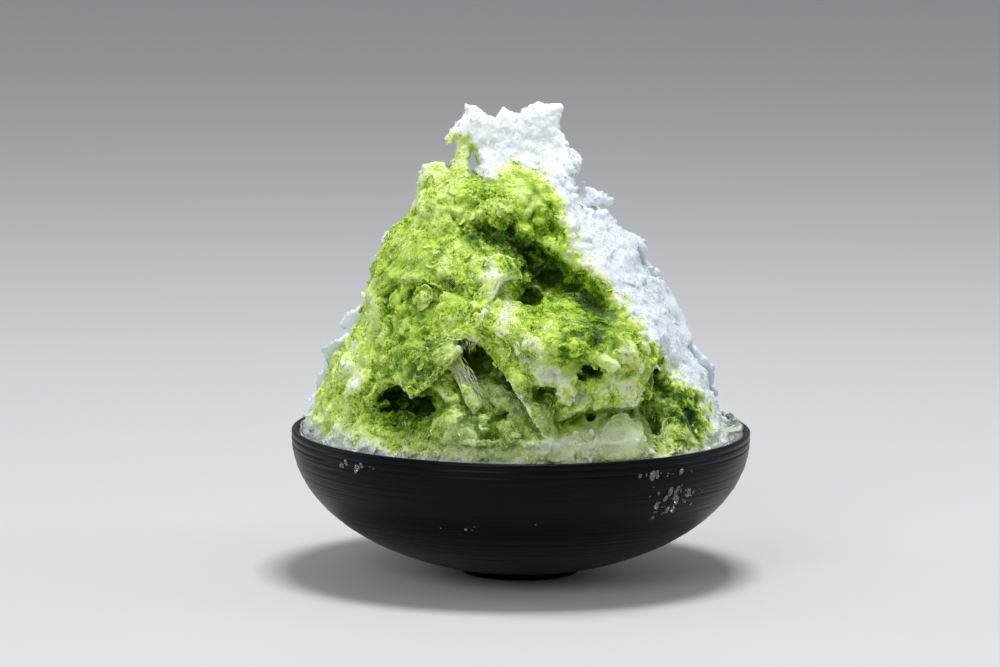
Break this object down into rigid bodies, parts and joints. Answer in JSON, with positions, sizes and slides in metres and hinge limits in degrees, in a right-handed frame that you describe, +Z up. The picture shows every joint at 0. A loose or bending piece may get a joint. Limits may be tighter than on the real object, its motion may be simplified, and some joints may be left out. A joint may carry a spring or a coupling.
{
  "type": "shaved ice dessert",
  "caption": "Tall uneven heap of shaved ice with green tea syrup, standing in a wide shallow black turned bowl on a small foot.",
  "frame": {"origin": "on the bowl's axis, at the underside of its foot, which is the middle of the bottom of the bounding box", "axes": "+Z up along the bowl's axis, -Y towards the side that is seen, +X to its right"},
  "size_m": [0.16, 0.16, 0.1643],
  "materials": {
    "bowl_glaze": "satin blue-black glaze over fine turning rings",
    "ice": "packed shaved ice, white on the right and at the top, wet with green tea syrup in front and at the left"
  },
  "bodies": {
    "root": {"bowl": "bowl_glaze", "ice": "ice"}
  },
  "joints": []
}
